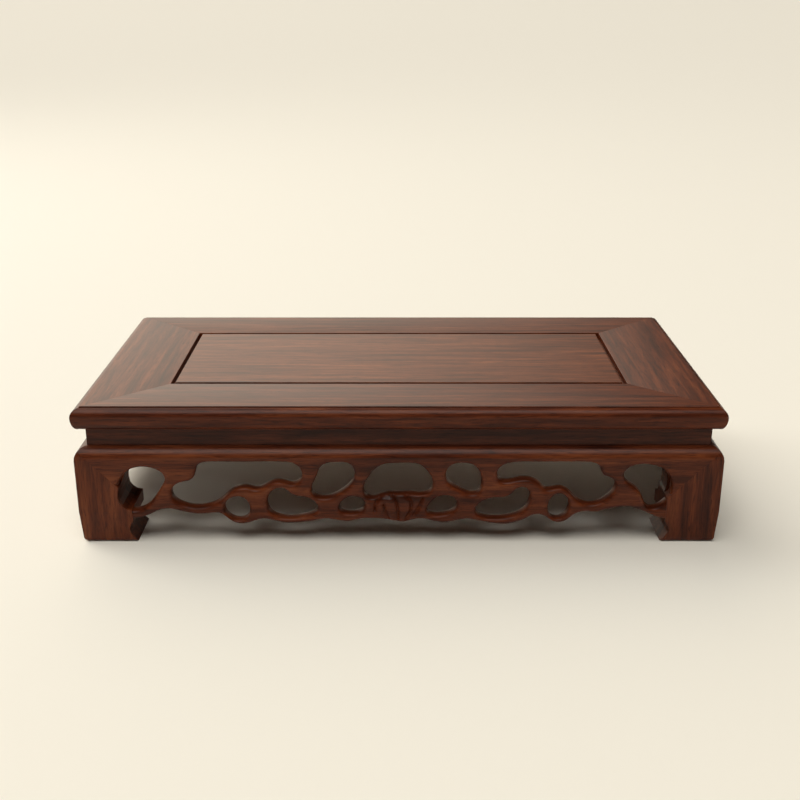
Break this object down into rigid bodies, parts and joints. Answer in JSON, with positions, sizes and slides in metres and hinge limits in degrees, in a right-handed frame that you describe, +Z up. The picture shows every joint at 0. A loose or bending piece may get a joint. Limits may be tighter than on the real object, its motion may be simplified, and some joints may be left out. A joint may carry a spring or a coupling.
{
  "type": "carved plant stand",
  "caption": "Low rectangular rosewood display stand with a mitred frame top, a recessed waist, openwork scroll aprons and short hoof feet.",
  "frame": {"origin": "on the surface that the stand rests on, under the middle of the top", "axes": "+X along the length, to the right of someone facing the front; +Y to the back; +Z up"},
  "size_m": [0.26, 0.135, 0.0585],
  "materials": {
    "frame_rosewood": "waxed, satin, grain along each rail",
    "panel_rosewood": "waxed, satin, grain along the stand",
    "waist_rosewood": "waxed, satin, darker in the recess",
    "apron_rosewood": "carved, sanded round and waxed, satin",
    "leg_rosewood": "waxed, satin, grain up the leg",
    "batten_rosewood": "planed, unwaxed",
    "peg_bamboo": "split and whittled, bare"
  },
  "bodies": {
    "root": {"front_rail": "frame_rosewood", "back_rail": "frame_rosewood", "left_end_rail": "frame_rosewood", "right_end_rail": "frame_rosewood", "top_panel": "panel_rosewood", "left_batten": "batten_rosewood", "right_batten": "batten_rosewood", "front_waist_board": "waist_rosewood", "back_waist_board": "waist_rosewood", "left_waist_board": "waist_rosewood", "right_waist_board": "waist_rosewood", "front_apron": "apron_rosewood", "back_apron": "apron_rosewood", "left_apron": "apron_rosewood", "right_apron": "apron_rosewood", "front_left_leg": "leg_rosewood", "front_right_leg": "leg_rosewood", "back_left_leg": "leg_rosewood", "back_right_leg": "leg_rosewood", "front_left_peg": "peg_bamboo", "front_right_peg": "peg_bamboo", "back_left_peg": "peg_bamboo", "back_right_peg": "peg_bamboo"}
  },
  "joints": []
}
